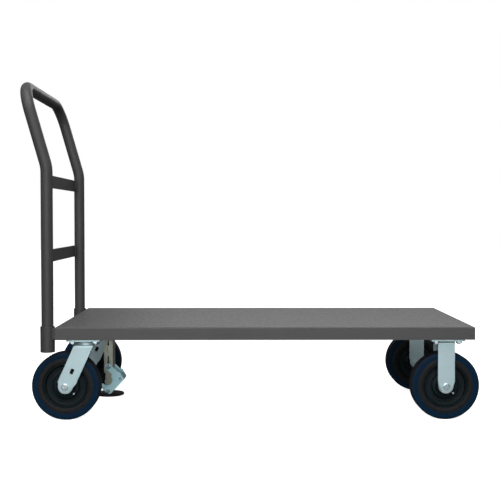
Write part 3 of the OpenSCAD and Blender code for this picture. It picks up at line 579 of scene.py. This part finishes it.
def make_core(kind, side):
    """The nylon core: a flat rim, a stepped dish, a thin web and the hub."""
    node = f"core_{kind}_{side}"
    low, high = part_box(node)
    radius, hub_half = (high.z - low.z) / 2, (high.y - low.y) / 2
    bearing_low, bearing_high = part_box(f"bearing_{kind}_{side}")
    # Radii, from the bore out to the rim
    bore = (bearing_high - bearing_low).z / 2
    hub_r, step_r, boss_r, web_r = 26 * MM, 28 * MM, 37 * MM, 40 * MM
    rim_in = radius - 13 * MM
    lip_r, dish_r = rim_in - 4 * MM, rim_in - 6 * MM
    # Heights on each side of the wheel's middle
    rim_half = hub_half - 4.5 * MM
    ledge, lip, web = 16 * MM, 18 * MM, 8 * MM
    one_side = [
        (bore, hub_half, 0.6 * MM), (hub_r, hub_half, 1.5 * MM), (step_r, ledge, 0.8 * MM),
        (boss_r, ledge, 1.2 * MM), (web_r, web, 2.5 * MM),
        (dish_r - 3 * MM, web, 2.5 * MM), (dish_r, lip, 0.7 * MM),
        (lip_r, lip, 0.7 * MM), (lip_r, ledge, 0.5 * MM),
        (rim_in, ledge, 0.5 * MM), (rim_in, rim_half, 1.0 * MM), (radius, rim_half, 0.4 * MM),
    ]
    other = [(r, -y, f) for r, y, f in reversed(one_side)]
    centre = box_centre(node)
    mesh = lathe(node + "_mesh", rounded(one_side + other, 4), centre, WHEEL_SEGMENTS)
    paint_points(mesh, "rim", lambda p: float(
        math.hypot(p.x - centre.x, p.z - centre.z) > rim_in - MM / 2))
    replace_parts(piece(node + ".finished", mesh, node, 32), node)


def make_spring():
    """The return spring, as round wire."""
    low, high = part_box("lock_spring")
    centre, wire, turns, steps = box_centre("lock_spring"), 1 * MM, 6, 240
    radius = (high.x - low.x) / 2 - wire
    path = []
    for i in range(steps + 1):
        a = 2 * math.pi * turns * i / steps
        z = low.z + wire + (high.z - low.z - 2 * wire) * i / steps
        path.append(Vector((centre.x + radius * math.cos(a), centre.y + radius * math.sin(a), z)))
    bm = bmesh.new()
    capped_sweep(bm, path, [wire] * len(path), 12)
    bmesh.ops.recalc_face_normals(bm, faces=bm.faces)
    mesh = to_mesh(bm, "lock_spring_mesh")
    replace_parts(piece("lock_spring.finished", mesh, "lock_spring", 50), "lock_spring")


# ---------- Welds ----------


def bead(bm, start, end, radius):
    """A weld bead from start to end, with the ripples that its pool leaves."""
    ripple = 2.6 * MM
    step = 0.5 * MM
    length = (end - start).length
    count = max(6, round(length / step))
    path, radii = [], []
    for i in range(count + 1):
        t = i / count
        path.append(start.lerp(end, t))
        phase = (t * length / ripple) % 1.0
        taper = min(1.0, math.sqrt(max(0.02, min(t, 1 - t) * length / (1.2 * radius))))
        radii.append(radius * taper * (0.86 + 0.14 * math.sin(math.pi * phase)))
    capped_sweep(bm, path, radii, 10)


def weld_piece(name, node, beads, material):
    """One piece of all the beads, each a start, an end and a radius, on a node's body."""
    bm = bmesh.new()
    for start, end, radius in beads:
        bead(bm, Vector(start), Vector(end), radius)
    bmesh.ops.recalc_face_normals(bm, faces=bm.faces)
    piece(name, to_mesh(bm, name + "_mesh"), node, 60, material)


def handle_welds():
    """Beads round both ends of each crossbar, where it laps the legs."""
    beads = []
    leg_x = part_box("handle_tube")[1].x - TUBE_R
    leg_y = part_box("handle_tube")[1].y - TUBE_R
    front = TUBE_R - CROSSBAR_T
    reach = math.sqrt(TUBE_R ** 2 - front ** 2)
    for bar in ("upper_crossbar", "lower_crossbar"):
        low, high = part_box(bar)
        for side in SIDES.values():
            y = side * (leg_y - reach)
            beads.append(((leg_x - front, y, low.z + MM), (leg_x - front, y, high.z - MM), 2.2 * MM))
            y = side * (leg_y - 4.5 * MM)
            x = leg_x - TUBE_R + 0.9 * MM
            beads.append(((x, y, low.z + MM), (x, y, high.z - MM), 1.6 * MM))
            for z in (low.z, high.z):
                beads.append(((x + MM, y, z), (leg_x - front, side * (leg_y - reach), z), 1.5 * MM))
    weld_piece("handle_welds", "handle_tube", beads, "weld_paint")


def deck_welds():
    """Beads at the sockets' straps, the flange's corners, the bolsters and the stringers."""
    beads = []
    deck_low, deck_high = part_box("deck_pan")
    corner_inset, strap_half = 1.1 * MM, 12.5 * MM
    for side_name, side in SIDES.items():
        low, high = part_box(f"handle_socket_{side_name}")
        centre = (low + high) / 2
        x = deck_low.x - 1.2 * MM
        for strap_edge in (-strap_half, strap_half):
            y = centre.y + strap_edge
            top = deck_high.z - FLANGE_BEND_R - 2 * MM
            beads.append(((x, y, deck_low.z + 2 * MM), (x, y, top), 2.0 * MM))
        for x in (deck_low.x + corner_inset, deck_high.x - corner_inset):
            y = side * (deck_high.y - corner_inset)
            beads.append(((x, y, deck_low.z + MM), (x, y, deck_high.z - 7 * MM), 1.0 * MM))
    sheet, stitch_half = deck_high.z - SHEET_T, 20 * MM
    stitch_places = (-0.22, -0.09, 0.09, 0.22)
    for node in ("rear_bolster", "front_bolster"):
        low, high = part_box(node)
        for x in (low.x, high.x):
            for y in stitch_places:
                beads.append(((x, y - stitch_half, sheet), (x, y + stitch_half, sheet), 2.4 * MM))
    low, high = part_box("deck_stringers")
    inner = min(abs(v.co.y) for v in frame["nodes"]["deck_stringers"].data.vertices)
    stitches = 5
    for side in SIDES.values():
        for y in (side * inner, side * high.y):
            for k in range(stitches):
                x = low.x + (high.x - low.x) * (k + 0.5) / stitches
                beads.append(((x - stitch_half, y, sheet), (x + stitch_half, y, sheet), 2.2 * MM))
    weld_piece("deck_welds", "deck_pan", beads, "weld_paint")


def caster_welds():
    """Beads between each rigid fork and its plate."""
    beads, end_inset = [], 14 * MM
    for side_name in SIDES:
        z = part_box(f"rigid_plate_{side_name}")[0].z
        low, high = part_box(f"rigid_fork_{side_name}")
        for x in (low.x, high.x):
            beads.append(((x, low.y + end_inset, z), (x, high.y - end_inset, z), 2.2 * MM))
    weld_piece("caster_welds", "rigid_plate_right", beads, "zinc_plate")


# The nodes whose edges are rounded over, by the width of the rounding in metres
SOFT_EDGES = {
    0.0010: ["upper_crossbar", "lower_crossbar", "lock_ram"],
    0.0008: [
        "rear_bolster", "front_bolster", "deck_stringers",
        "handle_socket_right", "handle_socket_left",
        "swivel_plate_right", "swivel_plate_left", "rigid_plate_right", "rigid_plate_left",
        "swivel_fork_right", "swivel_fork_left", "rigid_fork_right", "rigid_fork_left",
        "lock_frame", "lock_pedal", "lock_links", "lock_foot_disc",
    ],
    0.0003: [
        "mounting_bolts", "mounting_nuts", "rigid_axle_bolts", "rigid_axle_nuts",
        "swivel_axle_bolt_right", "swivel_axle_bolt_left",
        "swivel_axle_nut_right", "swivel_axle_nut_left",
        "swivel_washers_right", "swivel_washers_left", "rigid_washers",
        "lock_upper_pin", "lock_lower_pin", "lock_knee_rivets",
    ],
}


def build():
    """Gives every CAD node its material, and finishes those that need more than that."""
    for node, made in frame["nodes"].items():
        for slot in made.material_slots:
            slot.material = MATERIALS[SLOT_OF[node]]
    make_handle()
    make_deck()
    for kind in ("swivel", "rigid"):
        for side in SIDES:
            make_tread(kind, side)
            make_core(kind, side)
    make_spring()
    for width, nodes in SOFT_EDGES.items():
        for node in nodes:
            softened(node, width)
    handle_welds()
    deck_welds()
    caster_welds()


# ---------- Stage ----------


def area_light(name, place, target, size, power):
    """A rectangular light at a place, turned to its target."""
    data = bpy.data.lights.new(name, "AREA")
    data.shape = "RECTANGLE"
    data.size, data.size_y = size
    data.energy = power
    light = bpy.data.objects.new(name, data)
    light.location = place
    light.rotation_euler = (Vector(target) - Vector(place)).to_track_quat("-Z", "Y").to_euler()
    bpy.context.scene.collection.objects.link(light)


def studio():
    """A white room that the camera sees, which lights the truck more from above than below."""
    world = bpy.data.worlds.new("studio")
    bpy.context.scene.world = world
    world.use_nodes = True
    nodes, links = world.node_tree.nodes, world.node_tree.links
    light = nodes["Background"]
    place = nodes.new("ShaderNodeTexCoord")
    split = nodes.new("ShaderNodeSeparateXYZ")
    ramp = nodes.new("ShaderNodeMapRange")
    light.inputs["Color"].default_value = (1, 1, 1, 1)
    ramp.inputs["From Min"].default_value = 0.0
    ramp.inputs["From Max"].default_value = ROOM_TOP
    ramp.inputs["To Min"].default_value = ROOM_LOW
    ramp.inputs["To Max"].default_value = ROOM_HIGH
    links.new(place.outputs["Generated"], split.inputs["Vector"])
    links.new(split.outputs["Z"], ramp.inputs["Value"])
    links.new(ramp.outputs["Result"], light.inputs["Strength"])
    backdrop = nodes.new("ShaderNodeBackground")
    backdrop.inputs["Color"].default_value = (1, 1, 1, 1)
    path = nodes.new("ShaderNodeLightPath")
    mix = nodes.new("ShaderNodeMixShader")
    links.new(path.outputs["Is Camera Ray"], mix.inputs["Fac"])
    links.new(light.outputs["Background"], mix.inputs[1])
    links.new(backdrop.outputs["Background"], mix.inputs[2])
    links.new(mix.outputs["Shader"], nodes["World Output"].inputs["Surface"])
    for name, settings in LIGHTS.items():
        area_light(name, *settings)


def floor():
    """A plain floor, which the truck neither reflects nor is lit by."""
    bm = bmesh.new()
    bmesh.ops.create_grid(bm, x_segments=8, y_segments=8, size=FLOOR_SIZE)
    made = bpy.data.objects.new("floor", to_mesh(bm, "floor"))
    made.data.materials.append(pale_floor())
    bpy.context.scene.collection.objects.link(made)
    made.visible_diffuse = False
    made.visible_glossy = False


def camera():
    """The camera that was fitted to the photograph."""
    data = bpy.data.cameras.new("camera")
    data.lens = CAMERA_LENS
    data.sensor_width = SENSOR_WIDTH
    made = bpy.data.objects.new("camera", data)
    made.location = CAMERA_PLACE
    made.rotation_euler = CAMERA_TURN
    bpy.context.scene.collection.objects.link(made)
    bpy.context.scene.camera = made


bpy.context.scene.view_settings.view_transform = "Standard"
camera()
studio()
floor()
build()
